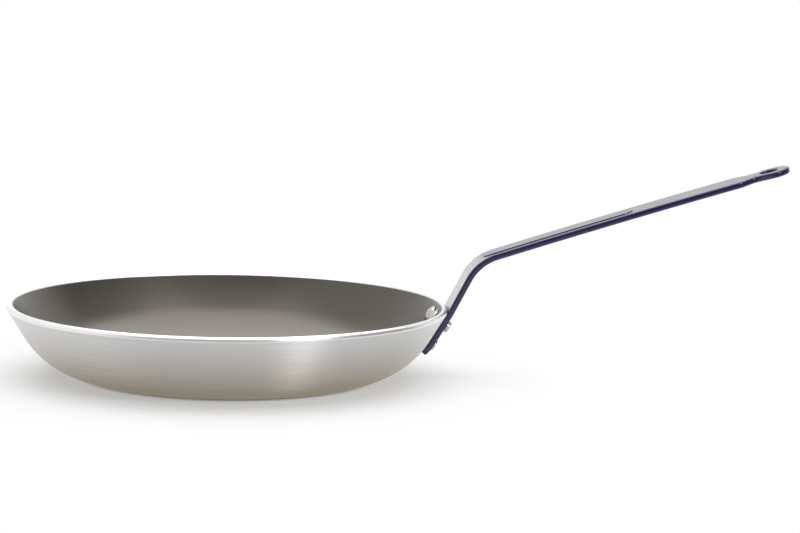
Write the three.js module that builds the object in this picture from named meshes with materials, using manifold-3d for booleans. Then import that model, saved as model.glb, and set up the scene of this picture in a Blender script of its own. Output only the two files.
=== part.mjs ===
// Frying pan: a pressed aluminium body with a nonstick lining and a bent strip handle on three rivets.
// Millimetres, +Z up. The origin is the middle of the base's underside and the handle runs along +X.
import * as THREE from 'three';
import { mergeVertices } from 'three/addons/utils/BufferGeometryUtils.js';
import Module from 'manifold-3d';

const wasm = await Module();
wasm.setup();

const { degToRad, lerp, smoothstep } = THREE.MathUtils;

// Pressed body: one sheet, flat base, round corner, straight wall and a turned band under the crown
const rimRadius = 140;
const panHeight = 46.4;
const sheetThickness = 4;
const wallSlope = degToRad(58.8);
const cornerRadius = 55.5;
const bandHeight = 3.2;
const bandProud = 0.3;
const crownRadius = 2.4;
const lipRound = 0.3;

// Nonstick lining
const filmThickness = 0.2;
const filmGap = 0.02;
const filmDrop = 0.5;

// Fits between neighbours
const fitGap = 0.3;
const holeGap = 0.3;

// Handle strip
const stripWidth = 25;
const stripThickness = 4;
const stripChamfer = 0.8;
const footMargin = 7.4;
const footCornerRadius = 2.5;
const riserSlope = degToRad(62.4);
const riserLength = 24.7;
const bendRadius = 32.5;
const gripSlope = degToRad(17.55);
const gripEndSlope = degToRad(15.8);
const gripLength = 200;

// Stiffening rib pressed up along the grip, its start measured back from the end of the bend
const ribWidth = 14;
const ribRise = 0.45;
const ribFlank = 0.4;
const ribLead = 7.5;
const ribLength = 101.5;

// Hanging eye at the tip: a shoulder, a neck and a round end with a hole
const eyeRadius = 11;
const neckWidth = 16;
const neckBlend = 13.5;
const shoulderBlend = 12;
const hangingHoleRadius = 5.8;
const hangingHoleSetback = 13.6;

// Rivets: an upper pair and a lower one, placed along the wall below the band
const upperRivetDrop = 8.2;
const rivetRowPitch = 15;
const rivetPairPitch = 17;
const shankRadius = 3;
const headRadius = 6;
const headHeight = 2.6;
const headEdge = 0.5;
const tailRadius = 3.8;
const tailHeight = 2.2;
const tailRound = 0.8;

// Facets
const turnedSegments = 64;
const cornerSteps = 8;
const rivetSegments = 16;
const hangingHoleSegments = 32;
const roundSteps = 4;
const curveSteps = 8;
const straightSteps = 5;
const shortSteps = 3;
const crestShare = 0.8;
const flankShare = 0.1;
const cutterLength = 40;
const weldTolerance = 1e-4;

// Finishes
const brushedAluminium = { color: 0xb9b6b0, roughness: 0.35, metalness: 1 };
const nonstickFilm = { color: 0x4b4743, roughness: 0.5, metalness: 0.1 };
const blueEpoxy = { color: 0x2b2a4b, roughness: 0.3, metalness: 0.1 };
const rivetAluminium = { color: 0xc8c6c2, roughness: 0.35, metalness: 1 };

// Values that follow from the sizes above
const bandBottom = panHeight - bandHeight;
const bandRadius = rimRadius - bandProud;
const tangentHeight = cornerRadius * (1 - Math.cos(wallSlope));
const wallRun = (bandBottom - tangentHeight) / Math.sin(wallSlope);
const baseRadius = bandRadius - wallRun * Math.cos(wallSlope) - cornerRadius * Math.sin(wallSlope);
const strapGap = fitGap + bandProud * Math.sin(wallSlope);
const lowerRivetDrop = upperRivetDrop + rivetRowPitch;
const footReach = lowerRivetDrop + footMargin;

// Closed solid of a geometry: equal vertices merged and triangles without area left out
function solidOf(geometry) {
  geometry.deleteAttribute('normal');
  geometry.deleteAttribute('uv');
  const merged = mergeVertices(geometry, weldTolerance);
  const index = merged.index.array;
  const corners = [];
  for (let i = 0; i < index.length; i += 3) {
    const [a, b, c] = [index[i], index[i + 1], index[i + 2]];
    if (a !== b && b !== c && c !== a) corners.push(a, b, c);
  }
  const vertProperties = new Float32Array(merged.attributes.position.array);
  const triVerts = new Uint32Array(corners);
  return new wasm.Manifold(new wasm.Mesh({ numProp: 3, vertProperties, triVerts }));
}

// Named mesh of a solid in its finish
function pieceOf(name, solid, finish) {
  const { vertProperties, triVerts } = solid.getMesh();
  const geometry = new THREE.BufferGeometry();
  geometry.setAttribute('position', new THREE.BufferAttribute(vertProperties, 3));
  geometry.setIndex(new THREE.BufferAttribute(triVerts, 1));
  geometry.computeVertexNormals();
  const mesh = new THREE.Mesh(geometry, new THREE.MeshStandardMaterial(finish));
  mesh.name = name;
  return mesh;
}

// Points of a round stretch of a profile
function roundStretch(centreR, centreZ, radius, from, to, steps) {
  const points = [];
  for (let i = 0; i <= steps; i += 1) {
    const angle = lerp(from, to, i / steps);
    points.push(new THREE.Vector2(centreR + radius * Math.cos(angle), centreZ + radius * Math.sin(angle)));
  }
  return points;
}

// Points of an eased corner between two profile points
function easedCorner(start, corner, end) {
  return new THREE.QuadraticBezierCurve(start, corner, end).getPoints(roundSteps);
}

// Solid of a profile turned about the pan's axis
function turned(profile) {
  const geometry = new THREE.LatheGeometry(profile, turnedSegments);
  geometry.rotateX(Math.PI / 2);
  return solidOf(geometry);
}

// Sheet profile at a depth inside the outer surface: the round corner, from the base to the wall
function cornerAt(depth) {
  const down = -Math.PI / 2;
  return roundStretch(baseRadius, cornerRadius, cornerRadius - depth, down, down + wallSlope, cornerSteps);
}

// Point of the straight wall at a height and a depth inside the outer surface
function wallAt(height, depth) {
  const outer = bandRadius + (height - bandBottom) / Math.tan(wallSlope);
  return new THREE.Vector2(outer - depth / Math.sin(wallSlope), height);
}

// Place on the wall's outer surface at a distance below the band, with the wall's slope there
function wallPoint(drop) {
  if (drop <= wallRun) {
    const r = bandRadius - drop * Math.cos(wallSlope);
    return { r, z: bandBottom - drop * Math.sin(wallSlope), slope: wallSlope };
  }
  const slope = wallSlope - (drop - wallRun) / cornerRadius;
  return { r: baseRadius + cornerRadius * Math.sin(slope), z: cornerRadius * (1 - Math.cos(slope)), slope };
}

// Rivet places: a seat on the wall's outer surface and the outward axis through it
function rivetPlace(name, drop, side) {
  const { r, z, slope } = wallPoint(drop);
  const azimuth = Math.asin(side * rivetPairPitch / 2 / r);
  const outward = new THREE.Vector3(Math.sin(slope), 0, -Math.cos(slope));
  const seat = new THREE.Vector3(r, 0, z);
  const axisZ = new THREE.Vector3(0, 0, 1);
  outward.applyAxisAngle(axisZ, azimuth);
  seat.applyAxisAngle(axisZ, azimuth);
  const hollow = drop < wallRun - headRadius ? r / Math.sin(slope) : cornerRadius - sheetThickness;
  const turn = new THREE.Quaternion().setFromUnitVectors(new THREE.Vector3(0, 1, 0), outward);
  return { name, seat, turn, hollow, tilt: Math.abs(azimuth) };
}

const rivetPlaces = [
  rivetPlace('rivet_upper_near', upperRivetDrop, -1),
  rivetPlace('rivet_upper_far', upperRivetDrop, 1),
  rivetPlace('rivet_lower', lowerRivetDrop, 0),
];

// Solid with the three rivet holes drilled through it
function drilled(solid) {
  let result = solid;
  for (const place of rivetPlaces) {
    const radius = shankRadius + holeGap;
    const cutter = new THREE.CylinderGeometry(radius, radius, cutterLength, rivetSegments);
    cutter.applyQuaternion(place.turn);
    cutter.translate(...place.seat);
    result = result.subtract(solidOf(cutter));
  }
  return result;
}

// Pressed body
function panBody() {
  const lipTop = wallAt(panHeight, sheetThickness);
  const lipInner = wallAt(panHeight - lipRound, sheetThickness);
  const lipStart = new THREE.Vector2(lipTop.x + lipRound, panHeight);
  const crownZ = panHeight - crownRadius;
  const profile = [
    new THREE.Vector2(0, 0),
    ...cornerAt(0),
    new THREE.Vector2(bandRadius, bandBottom),
    new THREE.Vector2(rimRadius, bandBottom + bandProud),
    ...roundStretch(rimRadius - crownRadius, crownZ, crownRadius, 0, Math.PI / 2, roundSteps),
    ...easedCorner(lipStart, lipTop, lipInner),
    ...cornerAt(sheetThickness).reverse(),
    new THREE.Vector2(0, sheetThickness),
  ];
  return pieceOf('pan_body', drilled(turned(profile)), brushedAluminium);
}

// Nonstick lining on the inside of the body
function nonstickLining() {
  const under = sheetThickness + filmGap;
  const over = under + filmThickness;
  const edgeHeight = panHeight - filmDrop;
  const profile = [
    new THREE.Vector2(0, under),
    ...cornerAt(under),
    wallAt(edgeHeight, under),
    wallAt(edgeHeight, over),
    ...cornerAt(over).reverse(),
    new THREE.Vector2(0, over),
  ];
  return pieceOf('nonstick_lining', drilled(turned(profile)), nonstickFilm);
}

// Place after running a length from a start while turning evenly
function advance(start, length, turn) {
  const slope = start.slope + turn;
  if (turn === 0) {
    return { x: start.x + length * Math.cos(slope), z: start.z + length * Math.sin(slope), slope };
  }
  const radius = length / turn;
  const x = start.x + radius * (Math.sin(slope) - Math.sin(start.slope));
  const z = start.z - radius * (Math.cos(slope) - Math.cos(start.slope));
  return { x, z, slope };
}

// Handle route: the strip's upper face in the middle plane, from the foot's end to the tip
function footPlace(drop) {
  const { r, z, slope } = wallPoint(drop);
  return { x: r + strapGap * Math.sin(slope), z: z - strapGap * Math.cos(slope), slope };
}
const riserStart = { ...footPlace(0), slope: riserSlope };
const bendStart = advance(riserStart, riserLength, 0);
const bendLength = bendRadius * (riserSlope - gripSlope);
const gripStart = advance(bendStart, bendLength, gripSlope - riserSlope);
const bendReach = footReach + riserLength;
const gripReach = bendReach + bendLength;
const stripLength = gripReach + gripLength;
const ribStart = gripReach - ribLead;
const ribEnd = ribStart + ribLength;
const neckReach = eyeRadius + neckBlend;

function routeAt(s) {
  if (s < footReach) return footPlace(footReach - s);
  if (s < bendReach) return advance(riserStart, s - footReach, 0);
  if (s < gripReach) return advance(bendStart, s - bendReach, (bendReach - s) / bendRadius);
  const run = s - gripReach;
  return advance(gripStart, run, (gripEndSlope - gripSlope) * run / gripLength);
}

// Half the strip's width: rounded foot corners, then full width, shoulder, neck and round eye
function halfWidthAt(s) {
  const full = stripWidth / 2;
  if (s < footCornerRadius) {
    return full - footCornerRadius + Math.sqrt(footCornerRadius ** 2 - (footCornerRadius - s) ** 2);
  }
  const fromTip = stripLength - s;
  if (fromTip < eyeRadius) return Math.sqrt(eyeRadius ** 2 - (eyeRadius - fromTip) ** 2);
  const toNeck = smoothstep(fromTip, eyeRadius, neckReach);
  const toFull = smoothstep(fromTip, neckReach, neckReach + shoulderBlend);
  return lerp(lerp(eyeRadius, neckWidth / 2, toNeck), full, toFull);
}

// Rib's half width and rise: an oblong with round ends
function ribAt(s) {
  const half = ribWidth / 2;
  const inside = Math.min(s - ribStart, ribEnd - s);
  if (inside <= 0 || inside >= half) return { half, rise: inside <= 0 ? 0 : ribRise };
  const round = Math.sqrt(half ** 2 - (half - inside) ** 2);
  return { half: Math.max(round, ribFlank), rise: ribRise * Math.min(1, inside / ribFlank) };
}

// Stations along the strip, closer together where its outline or rib turns
function stations() {
  const ribTurnIn = ribStart + ribWidth / 2;
  const ribTurnOut = ribEnd - ribWidth / 2;
  const neck = stripLength - neckReach;
  const even = (share) => share;
  const closerAtStart = (share) => 1 - Math.cos(share * Math.PI / 2);
  const closerAtEnd = (share) => Math.sin(share * Math.PI / 2);
  const stretches = [
    [0, footCornerRadius, roundSteps, closerAtStart],
    [footCornerRadius, footReach, straightSteps, even],
    [footReach, bendReach, shortSteps, even],
    [bendReach, ribStart, roundSteps, even],
    [ribStart, ribTurnIn, curveSteps, closerAtStart],
    [ribTurnIn, gripReach, shortSteps, even],
    [gripReach, ribTurnOut, straightSteps, even],
    [ribTurnOut, ribEnd, curveSteps, closerAtEnd],
    [ribEnd, neck - shoulderBlend, straightSteps, even],
    [neck - shoulderBlend, neck, curveSteps, even],
    [neck, stripLength - eyeRadius, curveSteps, even],
    [stripLength - eyeRadius, stripLength, curveSteps, closerAtEnd],
  ];
  const list = [];
  for (const [from, to, steps, ease] of stretches) {
    for (let i = 0; i < steps; i += 1) list.push(lerp(from, to, ease(i / steps)));
  }
  return [...new Set(list)].sort((a, b) => a - b);
}

// Outline of the strip's section at a station: across the width, and up from the upper face
function sectionAt(s) {
  const half = halfWidthAt(s);
  const land = half - stripChamfer;
  const rib = ribAt(s);
  const crest = Math.min(rib.half, land * crestShare);
  const foot = crest + Math.min(ribFlank, land * flankShare);
  const { rise } = rib;
  const low = -stripThickness;
  const overTop = [
    [-half, -stripChamfer], [-land, 0], [-foot, 0], [-crest, rise],
    [crest, rise], [foot, 0], [land, 0], [half, -stripChamfer],
  ];
  const underneath = [
    [half, low + stripChamfer], [land, low], [foot, low], [crest, low + rise],
    [-crest, low + rise], [-foot, low], [-land, low], [-half, low + stripChamfer],
  ];
  return [...overTop, ...underneath];
}

// Bent strip: sections joined along the route and closed at both ends
function stripGeometry() {
  const positions = [];
  const index = [];
  const list = stations();
  const put = (place, across, up) => {
    const x = place.x - up * Math.sin(place.slope);
    positions.push(x, across, place.z + up * Math.cos(place.slope));
  };
  for (const s of list) {
    for (const [across, up] of sectionAt(s)) put(routeAt(s), across, up);
  }
  const count = sectionAt(0).length;
  const lastRing = (list.length - 1) * count;
  const startMiddle = list.length * count;
  put(routeAt(list[0]), 0, -stripThickness / 2);
  put(routeAt(list[list.length - 1]), 0, -stripThickness / 2);
  for (let j = 0; j < count; j += 1) {
    const next = (j + 1) % count;
    for (let ring = 0; ring < lastRing; ring += count) {
      const ahead = ring + count;
      index.push(ring + j, ahead + j, ahead + next);
      index.push(ring + j, ahead + next, ring + next);
    }
    index.push(startMiddle, j, next);
    index.push(startMiddle + 1, lastRing + next, lastRing + j);
  }
  const geometry = new THREE.BufferGeometry();
  geometry.setAttribute('position', new THREE.BufferAttribute(new Float32Array(positions), 3));
  geometry.setIndex(index);
  return geometry;
}

// Handle: the strip with its rivet holes and hanging hole
function handle() {
  const eye = routeAt(stripLength - hangingHoleSetback);
  const radius = hangingHoleRadius;
  const cutter = new THREE.CylinderGeometry(radius, radius, cutterLength, hangingHoleSegments);
  cutter.rotateX(Math.PI / 2);
  cutter.rotateY(-eye.slope);
  cutter.translate(eye.x, 0, eye.z);
  const solid = drilled(solidOf(stripGeometry())).subtract(solidOf(cutter));
  return pieceOf('handle', solid, blueEpoxy);
}

// Rivet: a low dome inside the pan, a shank through lining, sheet and strip, and a formed tail outside
function rivet(place) {
  const headSeat = sheetThickness + filmGap + filmThickness + fitGap + headRadius ** 2 / (2 * place.hollow);
  const tailSeat = strapGap + stripThickness + fitGap + tailRadius * Math.sin(place.tilt);
  const domeHeight = headHeight - headEdge;
  const domeRadius = (headRadius ** 2 + domeHeight ** 2) / (2 * domeHeight);
  const domeCentre = -headSeat - headHeight + domeRadius;
  const domeAngle = Math.asin(headRadius / domeRadius);
  const pole = -Math.PI / 2;
  const tailEnd = tailSeat + tailHeight;
  const tailInner = tailRadius - tailRound;
  const profile = [
    ...roundStretch(0, domeCentre, domeRadius, pole, pole + domeAngle, roundSteps),
    new THREE.Vector2(headRadius, -headSeat),
    new THREE.Vector2(shankRadius, -headSeat),
    new THREE.Vector2(shankRadius, tailSeat),
    new THREE.Vector2(tailRadius, tailSeat),
    ...roundStretch(tailInner, tailEnd - tailRound, tailRound, 0, Math.PI / 2, roundSteps),
    new THREE.Vector2(0, tailEnd),
  ];
  profile[0].x = 0;
  const solid = solidOf(new THREE.LatheGeometry(profile, rivetSegments));
  const mesh = pieceOf(place.name, solid, rivetAluminium);
  mesh.position.copy(place.seat);
  mesh.quaternion.copy(place.turn);
  return mesh;
}

const pan = new THREE.Group();
pan.add(panBody(), nonstickLining(), handle(), ...rivetPlaces.map(rivet));

export default pan;
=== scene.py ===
"""Looks of a riveted nonstick frying pan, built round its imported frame.

Lengths are metres. The origin is the middle of the base's underside, +Z is up and the
handle runs along +X.
"""

import logging
import math
from collections.abc import Callable, Iterator
from contextlib import contextmanager
from dataclasses import dataclass, field
from enum import Enum

import bmesh
import bpy
from mathutils import Matrix, Quaternion, Vector


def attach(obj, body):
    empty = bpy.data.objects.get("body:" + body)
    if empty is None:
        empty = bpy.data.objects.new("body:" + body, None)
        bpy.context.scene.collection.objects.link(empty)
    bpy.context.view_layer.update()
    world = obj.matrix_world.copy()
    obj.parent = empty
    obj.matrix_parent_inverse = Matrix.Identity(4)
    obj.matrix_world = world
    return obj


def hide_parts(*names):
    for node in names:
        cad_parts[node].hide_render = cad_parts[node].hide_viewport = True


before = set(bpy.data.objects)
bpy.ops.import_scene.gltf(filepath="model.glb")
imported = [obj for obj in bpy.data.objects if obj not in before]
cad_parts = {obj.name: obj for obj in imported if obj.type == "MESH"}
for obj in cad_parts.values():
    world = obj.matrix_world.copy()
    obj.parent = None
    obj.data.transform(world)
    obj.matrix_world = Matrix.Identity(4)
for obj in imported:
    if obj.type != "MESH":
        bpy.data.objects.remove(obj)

log = logging.getLogger("frying_pan")

ROOT_BODY = "root"
IMAGE_WIDTH_PX = 800
SENSOR_WIDTH_MM = 36.0
MERGE_DISTANCE = 1e-6
FLAT_TOLERANCE = 1e-5
SMOOTH_ANGLE = math.radians(35)
QUARTER_TURN = math.pi / 2
WHITE = (1.0, 1.0, 1.0, 1.0)
UP = (0.0, 0.0, 1.0)
LEVEL = (1.0, 1.0, 0.0)
FLIP_SIDE = (1, -1, 1)
FLIP_UP = (1, 1, -1)
RISING = (0.0, 1.0)
FALLING = (1.0, 0.0)
# The part of a noise's range that is spread over a finish: less of it gives more contrast.
STRONG_CONTRAST = (0.35, 0.65)
SOFT_CONTRAST = (0.3, 0.7)
# Octaves of detail in a noise.
PLAIN_NOISE, FINE_NOISE, CLOUDY_NOISE = 1.0, 2.0, 3.0

Piece = bpy.types.Object
Socket = bpy.types.NodeSocket
Feed = Socket | tuple[float, ...] | float
Colour = tuple[float, float, float, float]
Point = tuple[float, float, float]
Span = tuple[float, float]


class Plane(Enum):
    """Planes that a chain is drawn in, each by the axis that its arcs go round."""

    PROFILE = (0.0, -1.0, 0.0)
    PLAN = (0.0, 0.0, 1.0)


class Side(Enum):
    """Places of the rivets, as a share of the pair's pitch across the strip."""

    NEAR = -0.5
    MIDDLE = 0.0
    FAR = 0.5


def at(radius: float, height: float) -> Vector:
    """Point of a profile."""
    return Vector((radius, 0, height))


def outward(slope: float) -> Vector:
    """Direction square to the wall and away from the pan, where the wall has a slope."""
    return at(math.sin(slope), -math.cos(slope))


def ease(share: float) -> float:
    """Share from 0 to 1, eased so that it starts and ends level."""
    return share * share * (3 - 2 * share)


@contextmanager
def editing(piece: Piece, everything: bool = False) -> Iterator[None]:
    """Edit mode on one piece.

    Args:
        piece: The mesh object to edit.
        everything: Whether all of it is selected at the start, or else nothing.

    Yields:
        Nothing.
    """
    choose(piece)
    bpy.ops.object.mode_set(mode="EDIT")
    bpy.ops.mesh.select_mode(type="VERT")
    bpy.ops.mesh.select_all(action="SELECT" if everything else "DESELECT")
    yield
    bpy.ops.object.mode_set(mode="OBJECT")


def choose(*pieces: Piece) -> None:
    """Selects only these objects and makes the first one active.

    Args:
        pieces: The objects to select.
    """
    bpy.ops.object.select_all(action="DESELECT")
    for piece in pieces:
        piece.select_set(True)
    bpy.context.view_layer.objects.active = pieces[0]


def pick(piece: Piece, test: Callable[[bmesh.types.BMVert], bool]) -> None:
    """Selects the vertices that pass a test, and the edges and faces between them.

    Args:
        piece: The object in edit mode.
        test: Says whether a vertex is selected.
    """
    shape = bmesh.from_edit_mesh(piece.data)
    for vertex in shape.verts:
        vertex.select = test(vertex)
    shape.select_flush(True)
    shape.select_flush(False)
    bmesh.update_edit_mesh(piece.data)


def pick_open_edges(piece: Piece, test: Callable[[Vector], bool]) -> None:
    """Selects the edges with no more than one face whose two ends pass a test.

    Args:
        piece: The object in edit mode.
        test: Says whether an end's place is wanted.
    """
    bpy.ops.mesh.select_mode(type="EDGE")
    bpy.ops.mesh.select_all(action="DESELECT")
    shape = bmesh.from_edit_mesh(piece.data)
    for edge in shape.edges:
        edge.select = len(edge.link_faces) < 2 and all(test(end.co) for end in edge.verts)
    shape.select_flush_mode()
    bmesh.update_edit_mesh(piece.data)


def apply_place(piece: Piece) -> None:
    """Moves a piece's place and turn into its mesh, so that the object is at the origin."""
    choose(piece)
    bpy.ops.object.transform_apply(location=True, rotation=True, scale=True)


def merge_and_face_out() -> None:
    """Merges doubled points of the mesh in edit mode and turns all its faces outwards."""
    bpy.ops.mesh.select_all(action="SELECT")
    bpy.ops.mesh.remove_doubles(threshold=MERGE_DISTANCE)
    bpy.ops.mesh.normals_make_consistent(inside=False)


def coat(piece: Piece, *materials: bpy.types.Material) -> None:
    """Shades a piece smooth, with crisp edges where faces meet sharply, and coats it.

    Args:
        piece: The finished mesh object.
        materials: Its materials, the main one first.
    """
    choose(piece)
    bpy.ops.object.shade_smooth_by_angle(angle=SMOOTH_ANGLE)
    evened = piece.modifiers.new("even_normals", "WEIGHTED_NORMAL")
    evened.keep_sharp = True
    bpy.ops.object.modifier_apply(modifier=evened.name)
    for material in materials:
        piece.data.materials.append(material)


def fit_to_frame(piece: Piece, nodes: list[str]) -> None:
    """Fixes a finished piece to the frame in place of the nodes that it stands for.

    Args:
        piece: The finished mesh object.
        nodes: Names of the frame's nodes that the piece replaces.
    """
    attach(piece, ROOT_BODY)
    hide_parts(*nodes)
    mesh = piece.data
    log.info("%s: %d points, %d faces", piece.name, len(mesh.vertices), len(mesh.polygons))


class Pen:
    """Draws a chain of edges by extruding and spinning one point, in edit mode."""

    def __init__(self, name: str, start: Vector, plane: Plane) -> None:
        """Starts the chain at a point.

        Args:
            name: Name of the object that holds the chain.
            start: The first point.
            plane: The plane of the chain.
        """
        self.axis = Vector(plane.value)
        self.place = start.copy()
        bpy.ops.object.select_all(action="DESELECT")
        bpy.ops.mesh.primitive_plane_add(size=1)
        self.piece = bpy.context.active_object
        self.piece.name = name
        bpy.ops.object.mode_set(mode="EDIT")
        bpy.ops.mesh.select_mode(type="VERT")
        bpy.ops.mesh.select_all(action="SELECT")
        bpy.ops.mesh.merge(type="CENTER")
        bpy.ops.transform.translate(value=start)

    def line_to(self, point: Vector) -> None:
        """Extrudes the last point in a straight line that ends at another."""
        bpy.ops.mesh.extrude_vertices_move(TRANSFORM_OT_translate={"value": point - self.place})
        self.place = point.copy()

    def arc(self, centre: Vector, angle: float, steps: int) -> None:
        """Spins the last point round a centre in steps, to the left if the angle is positive."""
        bpy.ops.mesh.spin(steps=steps, angle=-angle, center=centre, axis=self.axis)
        self.place = centre + Quaternion(self.axis, angle) @ (self.place - centre)

    def turn_solid(self, steps: int) -> Piece:
        """Spins the whole chain about the Z axis and closes it.

        Args:
            steps: The number of segments round the axis.

        Returns:
            The turned object, in object mode.
        """
        bpy.ops.mesh.select_all(action="SELECT")
        bpy.ops.mesh.spin(steps=steps, angle=math.tau, center=(0, 0, 0), axis=Plane.PLAN.value)
        merge_and_face_out()
        bpy.ops.object.mode_set(mode="OBJECT")
        return self.piece

    def fill(self) -> Piece:
        """Closes the chain and fills it with one face that looks up.

        Returns:
            The flat object, in object mode.
        """
        bpy.ops.mesh.select_all(action="SELECT")
        bpy.ops.mesh.remove_doubles(threshold=MERGE_DISTANCE)
        bpy.ops.mesh.edge_face_add()
        bpy.ops.object.mode_set(mode="OBJECT")
        if self.piece.data.polygons[0].normal.z < 0:
            with editing(self.piece, everything=True):
                bpy.ops.mesh.flip_normals()
        return self.piece


class Board:
    """A node tree, with short calls that add and join nodes."""

    def __init__(self, tree: bpy.types.NodeTree) -> None:
        """Takes the tree of a material or a world."""
        self.tree = tree

    def add(self, kind: str, inputs: dict[str | int, Feed], **settings: str) -> bpy.types.Node:
        """Adds a node and joins or sets its inputs.

        Args:
            kind: The node's type.
            inputs: Input name or number, with the socket that feeds it or a plain value.
            settings: Properties of the node.

        Returns:
            The new node.
        """
        node = self.tree.nodes.new(kind)
        for key, value in settings.items():
            setattr(node, key, value)
        for key, value in inputs.items():
            self.feed(node.inputs[key], value)
        return node

    def feed(self, target: Socket, value: Feed) -> None:
        """Joins a socket to another, or sets it to a plain value.

        Args:
            target: The input socket.
            value: A socket to join, or a plain value.
        """
        if isinstance(value, Socket):
            self.tree.links.new(value, target)
        else:
            target.default_value = value

    def split(self, vector: Feed) -> bpy.types.NodeOutputs:
        """The X, Y and Z of a vector."""
        return self.add("ShaderNodeSeparateXYZ", {0: vector}).outputs

    def maths(self, operation: str, *values: Feed) -> Socket:
        """Joins values into one, two at a time from the left.

        Args:
            operation: What is done with each two.
            values: Two values or more.

        Returns:
            The joined value.
        """
        total, *others = values
        for other in others:
            node = self.add("ShaderNodeMath", {0: total, 1: other}, operation=operation)
            total = node.outputs[0]
        return total

    def weigh(self, first: Socket, second: Socket, share: float) -> Socket:
        """Weighted mean of two values, of which the second has a share from 0 to 1."""
        inputs = {0: first, 1: 1 - share, 2: self.maths("MULTIPLY", second, share)}
        return self.add("ShaderNodeMath", inputs, operation="MULTIPLY_ADD").outputs[0]

    def vector(self, operation: str, *values: Feed) -> bpy.types.NodeOutputs:
        """Outputs of one vector sum."""
        inputs = dict(enumerate(values))
        return self.add("ShaderNodeVectorMath", inputs, operation=operation).outputs

    def noise(self, place: Feed, scale: float, detail: float) -> Socket:
        """Soft noise from 0 to 1 at a scale, in cycles per metre."""
        inputs = {"Vector": place, "Scale": scale, "Detail": detail}
        return self.add("ShaderNodeTexNoise", inputs).outputs["Fac"]

    def spread(self, source: Socket, start: Span, end: Span) -> Socket:
        """Maps a range of values to another one.

        Args:
            source: The socket that gives the value.
            start: Lowest and highest value taken in.
            end: The values that they become.

        Returns:
            The mapped value.
        """
        names = ("Value", "From Min", "From Max", "To Min", "To Max")
        inputs = dict(zip(names, (source, *start, *end)))
        return self.add("ShaderNodeMapRange", inputs).outputs["Result"]

    def blend(self, share: Socket, low: Colour, high: Colour) -> Socket:
        """Blends two plain colours.

        Args:
            share: How far the blend has gone, from 0 to 1.
            low: The colour at 0.
            high: The colour at 1.

        Returns:
            The blended colour.
        """
        ramp = self.add("ShaderNodeValToRGB", {"Fac": share})
        ramp.color_ramp.elements[0].color = low
        ramp.color_ramp.elements[1].color = high
        return ramp.outputs["Color"]

    def mix(self, kind: str, share: Feed, off: Feed, on: Feed) -> Socket:
        """Mixes two values or two colours.

        Args:
            kind: FLOAT for values, RGBA for colours.
            share: How far the mix has gone, from 0 to 1.
            off: What comes out at 0.
            on: What comes out at 1.

        Returns:
            The mixed value or colour.
        """
        node = self.add("ShaderNodeMix", {}, data_type=kind)
        sockets = [socket for socket in node.inputs if socket.enabled]
        for socket, value in zip(sockets, (share, off, on), strict=True):
            self.feed(socket, value)
        return next(socket for socket in node.outputs if socket.enabled)

    def bump(self, height: Socket, strength: float, depth: float) -> Socket:
        """Bumped normal from a height."""
        inputs = {"Height": height, "Strength": strength, "Distance": depth}
        return self.add("ShaderNodeBump", inputs).outputs["Normal"]


class FinishBoard(Board):
    """The node tree of a new material, with its shader."""

    def __init__(self, name: str) -> None:
        """Makes the material.

        Args:
            name: The material's name.
        """
        self.material = bpy.data.materials.new(name)
        self.material.use_nodes = True
        super().__init__(self.material.node_tree)
        self.shader = self.tree.nodes["Principled BSDF"]

    def coords(self) -> Socket:
        """The piece's own Object coordinates."""
        return self.add("ShaderNodeTexCoord", {}).outputs["Object"]

    def shade(self, **inputs: Feed) -> None:
        """Feeds the shader's inputs, named with underscores for spaces."""
        for key, value in inputs.items():
            self.feed(self.shader.inputs[key.replace("_", " ")], value)


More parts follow.
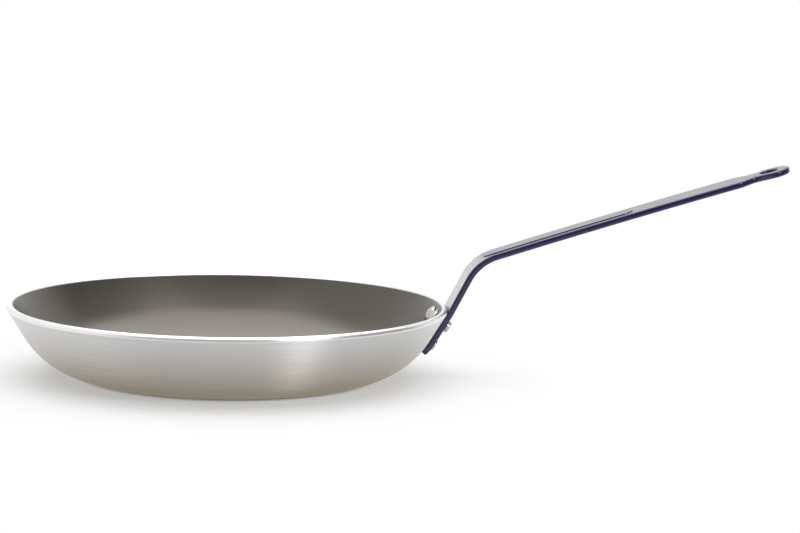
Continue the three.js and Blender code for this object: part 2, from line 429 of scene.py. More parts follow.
@dataclass(frozen=True)
class TurnedAluminium:
    """Aluminium with fine lines round the pan's axis, left by turning, and painted shade that makes
    it darker and warmer towards the base.
    """

    name: str = "brushed_aluminium"
    dark: Colour = (0.68, 0.677, 0.674, 1.0)
    light: Colour = (0.78, 0.777, 0.773, 1.0)
    # Painted shade: below the heights in low_to_high, the wall's colour goes darker and warmer.
    # This stands in for the shadowed floor near the base that the lower wall reflects.
    painted_shade_dark: Colour = (0.43, 0.384, 0.31, 1.0)
    painted_shade_light: Colour = (0.527, 0.473, 0.383, 1.0)
    low_to_high: Span = (0.007, 0.040)
    roughness: Span = (0.42, 0.50)
    anisotropy: float = 0.95
    across: float = 2600.0
    along: float = 2.2
    broad: float = 420.0
    broad_share: float = 0.2
    grain_turn: float = 0.25
    bump: float = 0.08
    depth: float = 0.00003

    def make(self) -> bpy.types.Material:
        """Builds the material.

        Returns:
            The node material.
        """
        board = FinishBoard(self.name)
        coords = board.coords()
        flat = board.vector("MULTIPLY", coords, LEVEL)["Vector"]
        radius = board.vector("LENGTH", flat)["Value"]
        height = board.split(coords)["Z"]
        reach = board.maths("ADD", radius, height)
        swing = board.split(board.vector("NORMALIZE", flat)["Vector"])
        turned = {"X": reach, "Y": swing["X"], "Z": swing["Y"]}
        place = board.add("ShaderNodeCombineXYZ", turned).outputs["Vector"]
        fine = self.lines(board, place, self.across)
        broad = self.lines(board, place, self.broad)
        both = board.weigh(fine, broad, self.broad_share)
        share = board.spread(both, STRONG_CONTRAST, RISING)
        # Painted shade: low is the darker, warmer colour that climb blends in near the base.
        low = board.blend(share, self.painted_shade_dark, self.painted_shade_light)
        high = board.blend(share, self.dark, self.light)
        climb = board.spread(height, self.low_to_high, RISING)
        board.shade(
            Base_Color=board.mix("RGBA", climb, low, high),
            Metallic=1.0,
            Roughness=board.spread(both, STRONG_CONTRAST, self.roughness),
            Anisotropic=self.anisotropy,
            Anisotropic_Rotation=self.grain_turn,
            Tangent=board.vector("CROSS_PRODUCT", UP, flat)["Vector"],
            Normal=board.bump(both, self.bump, self.depth),
        )
        return board.material

    def lines(self, board: Board, place: Socket, across: float) -> Socket:
        """Noise drawn out into lines round the axis, so many to a metre of the profile."""
        stretched = board.vector("MULTIPLY", place, (across, self.along, self.along))
        return board.noise(stretched["Vector"], 1.0, FINE_NOISE)


POLISHED_BAND = TurnedAluminium(
    name="polished_aluminium",
    dark=(0.80, 0.79, 0.78, 1.0),
    light=(0.88, 0.87, 0.86, 1.0),
    roughness=(0.30, 0.36),
    anisotropy=0.6,
    bump=0.05,
)


@dataclass(frozen=True)
class NonstickFilm:
    """Dark warm grey baked film with a fine grain and a low sheen."""

    name: str = "nonstick_film"
    sheen_tint: Colour = (1.0, 0.93, 0.82, 1.0)
    dark: Colour = (0.018, 0.016, 0.012, 1.0)
    light: Colour = (0.036, 0.032, 0.025, 1.0)
    roughness: Span = (0.28, 0.33)
    ior: float = 1.85
    grain: float = 1100.0
    cloud: float = 26.0
    cloud_share: float = 0.25
    bump: float = 0.3
    depth: float = 0.00006

    def make(self) -> bpy.types.Material:
        """Builds the material.

        Returns:
            The node material.
        """
        board = FinishBoard(self.name)
        coords = board.coords()
        grain = board.noise(coords, self.grain, FINE_NOISE)
        cloud = board.noise(coords, self.cloud, CLOUDY_NOISE)
        share = board.spread(board.weigh(grain, cloud, self.cloud_share), SOFT_CONTRAST, RISING)
        board.shade(
            Base_Color=board.blend(share, self.dark, self.light),
            Roughness=board.spread(cloud, SOFT_CONTRAST, self.roughness),
            IOR=self.ior,
            Specular_Tint=self.sheen_tint,
            Normal=board.bump(grain, self.bump, self.depth),
        )
        return board.material


@dataclass(frozen=True)
class BlueEpoxy:
    """Dark blue baked epoxy, semi-gloss, with the faint ripple of a sprayed coat."""

    name: str = "blue_epoxy"
    sheen_tint: Colour = (0.87, 0.88, 1.0, 1.0)
    dark: Colour = (0.005, 0.004, 0.052, 1.0)
    light: Colour = (0.008, 0.007, 0.070, 1.0)
    roughness: Span = (0.16, 0.22)
    ior: float = 1.55
    coat: float = 0.35
    coat_roughness: float = 0.1
    ripple: float = 620.0
    cloud: float = 60.0
    bump: float = 0.014
    depth: float = 0.00006

    def make(self) -> bpy.types.Material:
        """Builds the material.

        Returns:
            The node material.
        """
        board = FinishBoard(self.name)
        coords = board.coords()
        ripple = board.noise(coords, self.ripple, PLAIN_NOISE)
        cloud = board.noise(coords, self.cloud, CLOUDY_NOISE)
        share = board.spread(cloud, SOFT_CONTRAST, RISING)
        board.shade(
            Base_Color=board.blend(share, self.dark, self.light),
            Roughness=board.spread(cloud, SOFT_CONTRAST, self.roughness),
            IOR=self.ior,
            Specular_Tint=self.sheen_tint,
            Coat_Weight=self.coat,
            Coat_Roughness=self.coat_roughness,
            Normal=board.bump(ripple, self.bump, self.depth),
        )
        return board.material


@dataclass(frozen=True)
class RivetAluminium:
    """Bare satin aluminium with the fine mottle of a pressed head."""

    name: str = "rivet_aluminium"
    dark: Colour = (0.42, 0.42, 0.40, 1.0)
    light: Colour = (0.54, 0.54, 0.52, 1.0)
    roughness: Span = (0.24, 0.32)
    mottle: float = 900.0
    bump: float = 0.08
    depth: float = 0.00004

    def make(self) -> bpy.types.Material:
        """Builds the material.

        Returns:
            The node material.
        """
        board = FinishBoard(self.name)
        mottle = board.noise(board.coords(), self.mottle, CLOUDY_NOISE)
        share = board.spread(mottle, STRONG_CONTRAST, RISING)
        board.shade(
            Base_Color=board.blend(share, self.dark, self.light),
            Metallic=1.0,
            Roughness=board.spread(mottle, STRONG_CONTRAST, self.roughness),
            Normal=board.bump(mottle, self.bump, self.depth),
        )
        return board.material


@dataclass(frozen=True)
class StudioWhite:
    """Pale floor that keeps the shadow near the object and goes to white far from it.

    The camera sees no glow inside the contact ring, so the base meets the floor in a dark line.
    """

    name: str = "studio_white"
    tint: Colour = (0.88, 0.88, 0.88, 1.0)
    roughness: Span = (0.75, 0.85)
    contact: Span = (0.088, 0.096)
    fade: Span = (0.11, 0.21)
    near_glow: float = 0.38
    mirrored_front: float = 0.12
    front_to_near: Span = (-0.9, -0.55)
    mottle: float = 3.0

    def make(self) -> bpy.types.Material:
        """Builds the material.

        Returns:
            The node material.
        """
        board = FinishBoard(self.name)
        coords = board.coords()
        mottle = board.noise(coords, self.mottle, FINE_NOISE)
        rough = board.spread(mottle, SOFT_CONTRAST, self.roughness)
        board.shade(Base_Color=self.tint, Roughness=rough, Specular_IOR_Level=0.0)
        rays = board.add("ShaderNodeLightPath", {}).outputs
        mirror = rays["Is Glossy Ray"]
        distance = board.vector("LENGTH", coords)["Value"]
        near = board.spread(distance, self.contact, (0.0, self.near_glow))
        near = board.mix("FLOAT", mirror, near, self.near_glow)
        far = board.maths("ADD", near, board.spread(distance, self.fade, (0.0, 1 - self.near_glow)))
        depth = board.split(coords)["Y"]
        mirrored = board.spread(depth, self.front_to_near, (self.mirrored_front, 1.0))
        level = board.mix("FLOAT", mirror, 1.0, mirrored)
        seen = board.maths("MAXIMUM", rays["Is Camera Ray"], mirror, rays["Is Transmission Ray"])
        glow = board.add("ShaderNodeEmission", {"Color": WHITE, "Strength": level})
        mixed = board.add("ShaderNodeMixShader", {
            0: board.maths("MULTIPLY", far, seen),
            1: board.shader.outputs["BSDF"],
            2: glow.outputs["Emission"],
        })
        board.feed(board.tree.nodes["Material Output"].inputs["Surface"], mixed.outputs["Shader"])
        return board.material


@dataclass(frozen=True)
class WallPlace:
    """A place on the wall's outer surface: its radius, its height and the wall's slope there."""

    radius: float
    height: float
    slope: float


@dataclass
class PanBody:
    """The pressed body: flat base, round corner, flared wall and a turned band at the rim."""

    rim_radius: float = 0.140
    height: float = 0.0464
    sheet: float = 0.004
    wall_slope: float = math.radians(58.8)
    corner_radius: float = 0.0555
    band_height: float = 0.0032
    band_proud: float = 0.0003
    crown_radius: float = 0.0024
    lip_radius: float = 0.0003
    segments: int = 256
    corner_steps: int = 28
    round_steps: int = 12

    @property
    def band_bottom(self) -> float:
        """Height of the band's lower edge."""
        return self.height - self.band_height

    @property
    def band_radius(self) -> float:
        """Radius of the wall where it meets the band."""
        return self.rim_radius - self.band_proud

    @property
    def wall_run(self) -> float:
        """Length of the straight wall, from the band down to the round corner."""
        tangent_height = self.corner_radius * (1 - math.cos(self.wall_slope))
        return (self.band_bottom - tangent_height) / math.sin(self.wall_slope)

    @property
    def base_radius(self) -> float:
        """Radius of the flat base."""
        wall = self.wall_run * math.cos(self.wall_slope)
        return self.band_radius - wall - self.corner_radius * math.sin(self.wall_slope)

    @property
    def corner_centre(self) -> Vector:
        """Centre of the round corner in the profile."""
        return at(self.base_radius, self.corner_radius)

    def corner_end(self, depth: float) -> Vector:
        """Point where the round corner meets the wall, at a depth inside the outer surface."""
        return self.corner_centre + (self.corner_radius - depth) * outward(self.wall_slope)

    def wall_at(self, height: float, depth: float) -> Vector:
        """Point of the straight wall at a height and a depth inside the outer surface."""
        outer = self.band_radius + (height - self.band_bottom) / math.tan(self.wall_slope)
        return at(outer - depth / math.sin(self.wall_slope), height)

    def wall_place(self, drop: float) -> WallPlace:
        """Place on the outer surface at a distance below the band, measured along the wall.

        Args:
            drop: The distance below the band.

        Returns:
            The place, with the wall's slope there.
        """
        if drop <= self.wall_run:
            radius = self.band_radius - drop * math.cos(self.wall_slope)
            height = self.band_bottom - drop * math.sin(self.wall_slope)
            return WallPlace(radius, height, self.wall_slope)
        slope = self.wall_slope - (drop - self.wall_run) / self.corner_radius
        radius = self.base_radius + self.corner_radius * math.sin(slope)
        return WallPlace(radius, self.corner_radius * (1 - math.cos(slope)), slope)

    def build(self) -> Piece:
        """Draws the sheet's profile and turns it about the axis.

        Returns:
            The body's mesh object.
        """
        pen = Pen("pan_shell", at(0, 0), Plane.PROFILE)
        pen.line_to(at(self.base_radius, 0))
        pen.arc(self.corner_centre, self.wall_slope, self.corner_steps)
        pen.line_to(at(self.band_radius, self.band_bottom))
        pen.line_to(at(self.rim_radius, self.band_bottom + self.band_proud))
        crown = at(self.rim_radius - self.crown_radius, self.height - self.crown_radius)
        pen.line_to(crown + at(self.crown_radius, 0))
        pen.arc(crown, QUARTER_TURN, self.round_steps)
        lip_drop = self.lip_radius * (1 - math.cos(self.wall_slope))
        lip_end = self.wall_at(self.height - lip_drop, self.sheet)
        lip = lip_end + self.lip_radius * outward(self.wall_slope)
        pen.line_to(lip + at(0, self.lip_radius))
        pen.arc(lip, self.wall_slope, self.round_steps)
        pen.line_to(self.corner_end(self.sheet))
        pen.arc(self.corner_centre, -self.wall_slope, self.corner_steps)
        pen.line_to(at(0, self.sheet))
        return pen.turn_solid(self.segments)

    def dress(self, piece: Piece) -> None:
        """Gives the wall and base their turned finish, and the band and crown a polished one.

        Args:
            piece: The body's mesh object.
        """
        coat(piece, TurnedAluminium().make(), POLISHED_BAND.make())
        for face in piece.data.polygons:
            face.material_index = int(face.center.z > self.band_bottom)
        fit_to_frame(piece, ["pan_body"])


@dataclass
class NonstickLining:
    """The film baked on the inside of the body, up to just under the crown.

    Its back follows the straight wall. Its face bows a little, steeper at the rim than at the
    corner, so that the sheen runs smoothly down it.
    """

    body: PanBody
    thickness: float = 0.0002
    gap: float = 0.00002
    drop: float = 0.0005
    wall_bow: float = math.radians(8)
    bow_depth: float = 0.00035
    wall_steps: int = 12

    def build(self) -> Piece:
        """Draws the film's profile along the body's inside and turns it about the axis.

        Returns:
            The lining's mesh object.
        """
        body = self.body
        under = body.sheet + self.gap
        over = under + self.thickness
        edge = body.height - self.drop
        pen = Pen("lining_film", at(0, under), Plane.PROFILE)
        pen.line_to(at(body.base_radius, under))
        pen.arc(body.corner_centre, body.wall_slope, body.corner_steps)
        pen.line_to(body.wall_at(edge, under))
        self.draw_face(pen, edge, over)
        return pen.turn_solid(body.segments)

    def draw_face(self, pen: Pen, edge: float, over: float) -> None:
        """Draws the film's face: down the bowed wall, round the corner and in to the axis.

        Args:
            pen: The pen, at the upper edge of the film's back.
            edge: Height of the film's upper edge.
            over: Height of the face above the base's underside.
        """
        body = self.body
        top = body.wall_at(edge, over + self.bow_depth)
        steep = body.wall_slope + self.wall_bow / 2
        shallow = body.wall_slope - self.wall_bow / 2
        corner = body.corner_radius - over
        climb = edge - body.corner_radius + corner * math.cos(shallow)
        bow = climb / (math.cos(shallow) - math.cos(steep))
        centre = top - bow * outward(steep)
        pen.line_to(top)
        pen.arc(centre, -self.wall_bow, self.wall_steps)
        foot = centre.x + (bow - corner) * math.sin(shallow)
        pen.arc(at(foot, body.corner_radius), -shallow, body.corner_steps)
        pen.line_to(at(0, over))

    def dress(self, piece: Piece) -> None:
        """Gives the lining its film finish."""
        coat(piece, NonstickFilm().make())
        fit_to_frame(piece, ["nonstick_lining"])


@dataclass
class Rivets:
    """Three rivets, a pair above one, with low domed heads inside and formed tails outside."""

    body: PanBody
    lining: NonstickLining
    strap_gap: float
    strip: float
    upper_drop: float = 0.0082
    row_pitch: float = 0.015
    pair_pitch: float = 0.017
    clearance: float = 0.0003
    tail_clearance: float = 0.00045
    shank_radius: float = 0.003
    head_radius: float = 0.006
    head_height: float = 0.0026
    head_edge: float = 0.0005
    tail_radius: float = 0.0038
    tail_height: float = 0.0022
    tail_round: float = 0.0008
    segments: int = 64
    dome_steps: int = 12
    round_steps: int = 6

    def places(self) -> dict[str, tuple[float, Side]]:
        """Places of the rivets on the wall.

        Returns:
            Each rivet's node, with its drop below the band and its side of the strip.
        """
        lower_drop = self.upper_drop + self.row_pitch
        return {
            "rivet_upper_near": (self.upper_drop, Side.NEAR),
            "rivet_upper_far": (self.upper_drop, Side.FAR),
            "rivet_lower": (lower_drop, Side.MIDDLE),
        }

    def seat(self, drop: float, side: Side) -> tuple[Vector, Vector]:
        """Point on the wall's outer surface under a rivet, and the outward axis there.

        Args:
            drop: The rivet's distance below the band.
            side: The rivet's place across the strip.

        Returns:
            The point and the axis.
        """
        place = self.body.wall_place(drop)
        turn = Matrix.Rotation(math.asin(side.value * self.pair_pitch / place.radius), 3, "Z")
        return turn @ at(place.radius, place.height), turn @ outward(place.slope)

    def build(self) -> Piece:
        """Draws one rivet's profile, head down, and turns it about the Z axis.

        Returns:
            The rivet's mesh object, with the wall's outer surface at the origin.
        """
        # The head's flat underside stands off by what the round corner rises within its radius.
        hollow = self.head_radius ** 2 / (2 * self.body.corner_radius)
        film = self.lining.gap + self.lining.thickness
        head_seat = self.body.sheet + film + self.clearance + hollow
        tail_seat = self.strap_gap + self.strip + self.tail_clearance
        rise = self.head_height - self.head_edge
        dome = (self.head_radius ** 2 + rise ** 2) / (2 * rise)
        centre = at(0, dome - head_seat - self.head_height)
        pen = Pen("rivet", centre - at(0, dome), Plane.PROFILE)
        pen.arc(centre, math.asin(self.head_radius / dome), self.dome_steps)
        pen.line_to(at(self.head_radius, -head_seat))
        pen.line_to(at(self.shank_radius, -head_seat))
        pen.line_to(at(self.shank_radius, tail_seat))
        pen.line_to(at(self.tail_radius, tail_seat))
        top = tail_seat + self.tail_height
        edge = at(self.tail_radius - self.tail_round, top - self.tail_round)
        pen.line_to(edge + at(self.tail_round, 0))
        pen.arc(edge, QUARTER_TURN, self.round_steps)
        pen.line_to(at(0, top))
        return pen.turn_solid(self.segments)

    def dress(self, pattern: Piece) -> None:
        """Copies the rivet to its three places and gives the copies their finish.

        Args:
            pattern: The rivet's mesh object at the origin.
        """
        coat(pattern, RivetAluminium().make())
        places = self.places()
        pieces = [pattern]
        while len(pieces) < len(places):
            choose(pattern)
            bpy.ops.object.duplicate(linked=False)
            pieces.append(bpy.context.active_object)
        for piece, (node, (drop, side)) in zip(pieces, places.items()):
            piece.name = f"set_{node}"
            seat, axis = self.seat(drop, side)
            piece.rotation_mode = "QUATERNION"
            piece.rotation_quaternion = Vector(UP).rotation_difference(axis)
            piece.location = seat
            apply_place(piece)
            fit_to_frame(piece, [node])


@dataclass
class Handle:
    """The strip handle: a bent blank with a pressed rib, rivet holes and a hanging eye."""

    body: PanBody
    width: float = 0.025
    thickness: float = 0.004
    edge_radius: float = 0.0012
    strap_gap: float = 0.00056
    foot_reach: float = 0.0306
    foot_corner: float = 0.0025
    riser_slope: float = math.radians(62.4)
    riser_length: float = 0.0247
    bend_radius: float = 0.0325
    grip_slope: float = math.radians(17.55)
    grip_end_slope: float = math.radians(15.8)
    grip_length: float = 0.200
    rib_radius: float = 0.0074
    rib_flank: float = 0.00016
    rib_rise: float = 0.00045
    rib_lead: float = 0.0075
    rib_length: float = 0.1015
    eye_radius: float = 0.011
    neck_half: float = 0.008
    neck_blend: float = 0.0135
    shoulder_blend: float = 0.012
    hole_radius: float = 0.0058
    hole_setback: float = 0.0136
    rivet_hole_radius: float = 0.0033
    edge_steps: int = 4
    flank_steps: int = 6
    curve_steps: int = 16
    hole_points: int = 48
    rivet_hole_points: int = 24
    bend_cuts: int = 28
    foot_cuts: int = 8
    grip_cuts: int = 8
    holes: list[Span] = field(default_factory=list)

    @property
    def bend_start(self) -> float:
        """Length along the strip where the bend starts."""
        return self.foot_reach + self.riser_length

    @property
    def grip_start(self) -> float:
        """Length along the strip where the grip starts."""
        return self.bend_start + self.bend_radius * (self.riser_slope - self.grip_slope)

    @property
    def length(self) -> float:
        """Length of the whole strip."""
        return self.grip_start + self.grip_length

    @property
    def hole_place(self) -> Vector:
        """Centre of the hanging hole on the flat blank."""
        return Vector((self.length - self.hole_setback, 0, 0))

    def half_width(self, from_tip: float) -> float:
        """Half the blank's width in the shoulder and neck.

        Args:
            from_tip: Distance back from the tip.

        Returns:
            The half width.
        """
        neck = self.eye_radius + self.neck_blend
        if from_tip < neck:
            share = ease((from_tip - self.eye_radius) / self.neck_blend)
            return self.eye_radius + (self.neck_half - self.eye_radius) * share
        share = ease((from_tip - neck) / self.shoulder_blend)
        return self.neck_half + (self.width / 2 - self.neck_half) * share

    def blank_outline(self) -> Piece:
        """Flat face with the blank's outline.

        Returns:
            The face's object.
        """
        half, corner = self.width / 2, self.foot_corner
        pen = Pen("strip_handle", Vector((0, 0, 0)), Plane.PLAN)
        pen.line_to(Vector((0, half - corner, 0)))
        pen.arc(Vector((corner, half - corner, 0)), -QUARTER_TURN, self.edge_steps)
        blend = self.neck_blend + self.shoulder_blend
        for step in range(2 * self.curve_steps + 1):
            from_tip = self.eye_radius + blend * (1 - step / (2 * self.curve_steps))
            pen.line_to(Vector((self.length - from_tip, self.half_width(from_tip), 0)))
        pen.arc(Vector((self.length - self.eye_radius, 0, 0)), -QUARTER_TURN, self.curve_steps)
        bpy.ops.mesh.select_all(action="SELECT")
        bpy.ops.mesh.duplicate()
        bpy.ops.transform.resize(value=FLIP_SIDE, center_override=(0, 0, 0))
        return pen.fill()

    def rib_outline(self) -> Piece:
        """Flat face with the rib's outline, an oblong with round ends.

        Returns:
            The face's object.
        """
        radius = self.rib_radius
        start = self.grip_start - self.rib_lead + radius
        end = start + self.rib_length - 2 * radius
        pen = Pen("rib", Vector((start, -radius, 0)), Plane.PLAN)
        pen.line_to(Vector((end, -radius, 0)))
        pen.arc(Vector((end, 0, 0)), math.pi, 2 * self.curve_steps)
        pen.line_to(Vector((start, radius, 0)))
        pen.arc(Vector((start, 0, 0)), math.pi, 2 * self.curve_steps)
        return pen.fill()

    def disc(self, centre: Vector, radius: float, points: int) -> Piece:
        """Flat round face.

        Args:
            centre: The middle of the disc.
            radius: The disc's radius.
            points: The number of points round it.

        Returns:
            The face's object, at the origin.
        """
        bpy.ops.object.select_all(action="DESELECT")
        bpy.ops.mesh.primitive_circle_add(
            vertices=points, radius=radius, fill_type="NGON", location=centre)
        bpy.ops.object.transform_apply(location=True)
        return bpy.context.active_object

    def step_in(self, piece: Piece, steps: list[Span], keep_face: bool) -> None:
        """Insets a flat face again and again, each time up or down.

        Args:
            piece: The face's object.
            steps: Inset and rise of each step.
            keep_face: Whether the innermost face stays.
        """
        with editing(piece, everything=True):
            for inset, rise in steps:
                bpy.ops.mesh.inset(thickness=inset, depth=rise)
            if not keep_face:
                bpy.ops.mesh.delete(type="ONLY_FACE")

    def rounding(self) -> list[Span]:
        """Quarter round, from the side of the strip to its face.

        Returns:
            Inset and rise of each step.
        """
        angles = [QUARTER_TURN * step / self.edge_steps for step in range(self.edge_steps + 1)]
        radius = self.edge_radius
        return [
            (radius * (math.cos(a) - math.cos(b)), radius * (math.sin(b) - math.sin(a)))
            for a, b in zip(angles, angles[1:])
        ]

    def flank(self) -> list[Span]:
        """The rib's soft flank, from its foot to its crest.

        Returns:
            Inset and rise of each step.
        """
        shares = [step / self.flank_steps for step in range(self.flank_steps + 1)]
        return [
            (self.rib_flank * (b - a), self.rib_rise * (ease(b) - ease(a)))
            for a, b in zip(shares, shares[1:])
        ]

    def upper_skin(self) -> Piece:
        """Upper face of the flat blank, with its rounded edges, its holes and its rib.

        Returns:
            The open mesh's object.
        """
        skin = self.blank_outline()
        with editing(skin, everything=True):
            bpy.ops.transform.translate(value=(0, 0, -self.edge_radius))
        self.step_in(skin, self.rounding(), keep_face=False)
        eye = self.disc(self.hole_place, self.hole_radius + self.edge_radius, self.hole_points)
        down = [(inset, -rise) for inset, rise in reversed(self.rounding())]
        self.step_in(eye, down, keep_face=False)
        rib = self.rib_outline()
        self.step_in(rib, self.flank(), keep_face=True)
        rounds = [
            self.disc(Vector((x, y, 0)), self.rivet_hole_radius, self.rivet_hole_points)
            for x, y in self.holes
        ]
        for piece in rounds:
            self.step_in(piece, [], keep_face=False)
        choose(skin, eye, rib, *rounds)
        bpy.ops.object.join()
        with editing(skin):
            pick_open_edges(skin, lambda place: abs(place.z) < FLAT_TOLERANCE)
            bpy.ops.mesh.fill(use_beauty=True)
            bpy.ops.mesh.select_mode(type="VERT")
            merge_and_face_out()
        return skin

    def thicken(self, skin: Piece) -> None:
        """Adds the underside, with the rib's hollow, and joins the two faces round all edges.

        Args:
            skin: The upper face's object.
        """
        low = -self.thickness
        gap = self.edge_radius
        with editing(skin, everything=True):
            bpy.ops.mesh.duplicate()
            bpy.ops.transform.resize(value=FLIP_UP, center_override=(0, 0, low / 2))
            pick(skin, lambda vertex: vertex.co.z < low - FLAT_TOLERANCE)
            bpy.ops.transform.resize(value=FLIP_UP, center_override=(0, 0, low))
            rings = [(self.hole_place, self.hole_radius + gap / 2)]
            rings += [(Vector((x, y, 0)), self.rivet_hole_radius + gap / 2) for x, y in self.holes]
            for centre, reach in rings:
                pick_open_edges(skin, lambda place: (place - centre).to_2d().length < reach)
                bpy.ops.mesh.bridge_edge_loops()
            pick_open_edges(skin, lambda place: True)
            bpy.ops.mesh.bridge_edge_loops()
            bpy.ops.mesh.select_mode(type="VERT")
            merge_and_face_out()

    def bends(self) -> list[Span]:
        """The strip's bends, from the foot to the tip, each in the middle of its stretch.

        Returns:
            Place along the strip and angle of each bend.
        """
        body = self.body
        foot_slope = body.wall_place(self.foot_reach).slope
        curl_end = self.foot_reach - body.wall_run
        turns = [
            (0.0, curl_end, body.wall_slope - foot_slope, self.foot_cuts),
            (self.foot_reach, self.foot_reach, self.riser_slope - body.wall_slope, 1),
            (self.bend_start, self.grip_start, self.grip_slope - self.riser_slope, self.bend_cuts),
            (self.grip_start, self.length, self.grip_end_slope - self.grip_slope, self.grip_cuts),
        ]
        return [
            (start + (end - start) * (cut + 0.5) / cuts, turn / cuts)
            for start, end, turn, cuts in turns
            for cut in range(cuts)
        ]

    def bend(self, strip: Piece) -> None:
        """Cuts the strip across at each bend, then turns what lies beyond, from the tip back.

        Args:
            strip: The flat strip's object.
        """
        bends = self.bends()
        with editing(strip):
            for place, _ in bends:
                bpy.ops.mesh.select_all(action="SELECT")
                bpy.ops.mesh.bisect(plane_co=(place, 0, 0), plane_no=(1, 0, 0))
            for place, turn in reversed(bends):
                pick(strip, lambda vertex: vertex.co.x > place + FLAT_TOLERANCE)
                bpy.ops.transform.rotate(
                    value=turn, orient_axis="Y", center_override=(place, 0, 0))

    def place(self, strip: Piece) -> None:
        """Turns the bent strip to the wall's slope and sets its foot against the wall.

        Args:
            strip: The bent strip's object.
        """
        foot = self.body.wall_place(self.foot_reach)
        strip.rotation_mode = "XYZ"
        strip.rotation_euler = (0, -foot.slope, 0)
        strip.location = at(foot.radius, foot.height) + self.strap_gap * outward(foot.slope)
        apply_place(strip)

    def build(self) -> Piece:
        """Makes the blank, presses it, bends it and sets it on the pan.

        Returns:
            The handle's mesh object.
        """
        strip = self.upper_skin()
        self.thicken(strip)
        self.bend(strip)
        self.place(strip)
        return strip

    def dress(self, piece: Piece) -> None:
        """Gives the handle its epoxy coat."""
        coat(piece, BlueEpoxy().make())
        fit_to_frame(piece, ["handle"])


@dataclass
class PhotoCamera:
    """Camera at the photograph's viewing angle."""

    place: Point = (-0.0939, -1.8036, 0.3128)
    yaw: float = math.radians(6.449)
    pitch: float = math.radians(7.595)
    roll: float = math.radians(1.138)
    focal_px: float = 2853.8
    clip: Span = (0.05, 200.0)

    def build(self) -> None:
        """Adds the camera and makes it the scene's own."""
        lens = bpy.data.cameras.new("photo_camera")
        lens.sensor_width = SENSOR_WIDTH_MM
        lens.lens = self.focal_px * SENSOR_WIDTH_MM / IMAGE_WIDTH_PX
        lens.clip_start, lens.clip_end = self.clip
        camera = bpy.data.objects.new("photo_camera", lens)
        aim = (
            Matrix.Rotation(-self.yaw, 4, "Z")
            @ Matrix.Rotation(QUARTER_TURN - self.pitch, 4, "X")
            @ Matrix.Rotation(self.roll, 4, "Z")
        )
        camera.matrix_world = Matrix.Translation(self.place) @ aim
        bpy.context.scene.collection.objects.link(camera)
        bpy.context.scene.camera = camera


@dataclass(frozen=True)
class Softbox:
    """A square area lamp that looks at the pan."""

    name: str
    place: Point
    width: float
    watts: float
    aim: Point = (0.05, 0.0, 0.03)

    def build(self) -> None:
        """Adds the lamp."""
        lamp = bpy.data.lights.new(self.name, "AREA")
        lamp.shape = "SQUARE"
        lamp.size = self.width
        lamp.energy = self.watts
        holder = bpy.data.objects.new(self.name, lamp)
        holder.location = self.place
        holder.rotation_mode = "QUATERNION"
        sight = Vector(self.aim) - Vector(self.place)
        holder.rotation_quaternion = sight.to_track_quat("-Z", "Y")
        bpy.context.scene.collection.objects.link(holder)


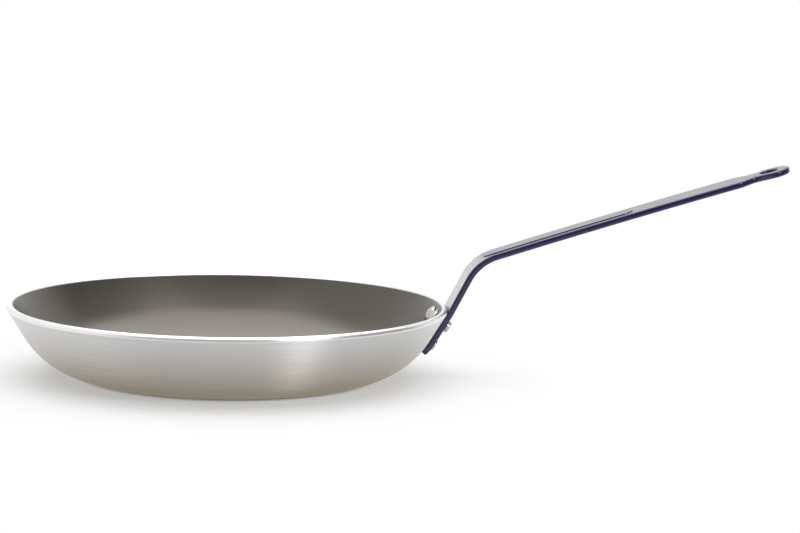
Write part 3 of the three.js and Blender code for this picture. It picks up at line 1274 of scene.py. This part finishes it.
@dataclass
class Studio:
    """Pale floor, white surroundings and soft lamps.

    The surroundings are white to the camera, softer where they light, and dimmer low on the
    right and in front, as behind a camera.
    """

    floor_width: float = 40.0
    ambient: float = 0.45
    right: float = 0.25
    front: float = 0.38
    left_to_right: Span = (0.25, 0.75)
    front_to_side: Span = (-0.62, -0.38)
    right_to_back: Span = (0.3, 0.5)
    low_to_high: Span = (0.5, 0.9)
    front_height: Span = (0.74, 0.86)
    lamps: tuple[Softbox, ...] = (
        Softbox("top_softbox", (0.08, 0.28, 1.35), 1.7, 18.0),
        Softbox("front_softbox", (1.02, -1.36, 0.75), 0.4, 8.0),
        Softbox("back_softbox", (-0.17, 1.6, 0.16), 0.5, 0.42),
    )

    def build(self) -> None:
        """Adds the floor, the surroundings and the lamps."""
        self.floor()
        self.surroundings()
        for lamp in self.lamps:
            lamp.build()
        bpy.context.scene.view_settings.view_transform = "Standard"

    def floor(self) -> None:
        """Adds the floor under the pan."""
        bpy.ops.object.select_all(action="DESELECT")
        bpy.ops.mesh.primitive_plane_add(size=self.floor_width)
        floor = bpy.context.active_object
        floor.name = "studio_floor"
        floor.data.materials.append(StudioWhite().make())

    def surroundings(self) -> None:
        """Sets the world, its light chosen by the kind of ray and by its direction."""
        world = bpy.data.worlds.new("studio")
        world.use_nodes = True
        world.node_tree.nodes.clear()
        board = Board(world.node_tree)
        rays = board.add("ShaderNodeLightPath", {}).outputs
        direction = board.split(board.add("ShaderNodeTexCoord", {}).outputs["Generated"])
        aside = board.maths(
            "MULTIPLY",
            board.spread(direction["X"], self.left_to_right, (0.0, 1 - self.right)),
            board.spread(direction["Y"], self.right_to_back, FALLING),
            board.spread(direction["Z"], self.low_to_high, FALLING),
        )
        front = board.maths(
            "MULTIPLY",
            board.spread(direction["Y"], self.front_to_side, (1 - self.front, 0.0)),
            board.spread(direction["Z"], self.front_height, FALLING),
        )
        share = board.maths("SUBTRACT", 1.0, board.maths("MAXIMUM", aside, front))
        lighting = board.mix("FLOAT", rays["Is Glossy Ray"], self.ambient, 1.0)
        level = board.maths("MULTIPLY", lighting, share)
        seen = board.maths("MAXIMUM", rays["Is Camera Ray"], rays["Is Transmission Ray"])
        strength = board.mix("FLOAT", seen, level, 1.0)
        sky = board.add("ShaderNodeBackground", {"Color": WHITE, "Strength": strength})
        output = board.add("ShaderNodeOutputWorld", {"Surface": sky.outputs["Background"]})
        output.is_active_output = True
        bpy.context.scene.world = world


def main() -> None:
    """Builds the camera, the studio and each sub-assembly of the pan, in order."""
    logging.basicConfig(level=logging.INFO, format="%(name)s: %(message)s")
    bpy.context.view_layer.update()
    PhotoCamera().build()
    Studio().build()
    body = PanBody()
    body.dress(body.build())
    lining = NonstickLining(body)
    lining.dress(lining.build())
    handle = Handle(body)
    rivets = Rivets(body, lining, handle.strap_gap, handle.thickness)
    for drop, side in rivets.places().values():
        handle.holes.append((handle.foot_reach - drop, side.value * rivets.pair_pitch))
    handle.dress(handle.build())
    rivets.dress(rivets.build())


if __name__ == "__main__":
    main()
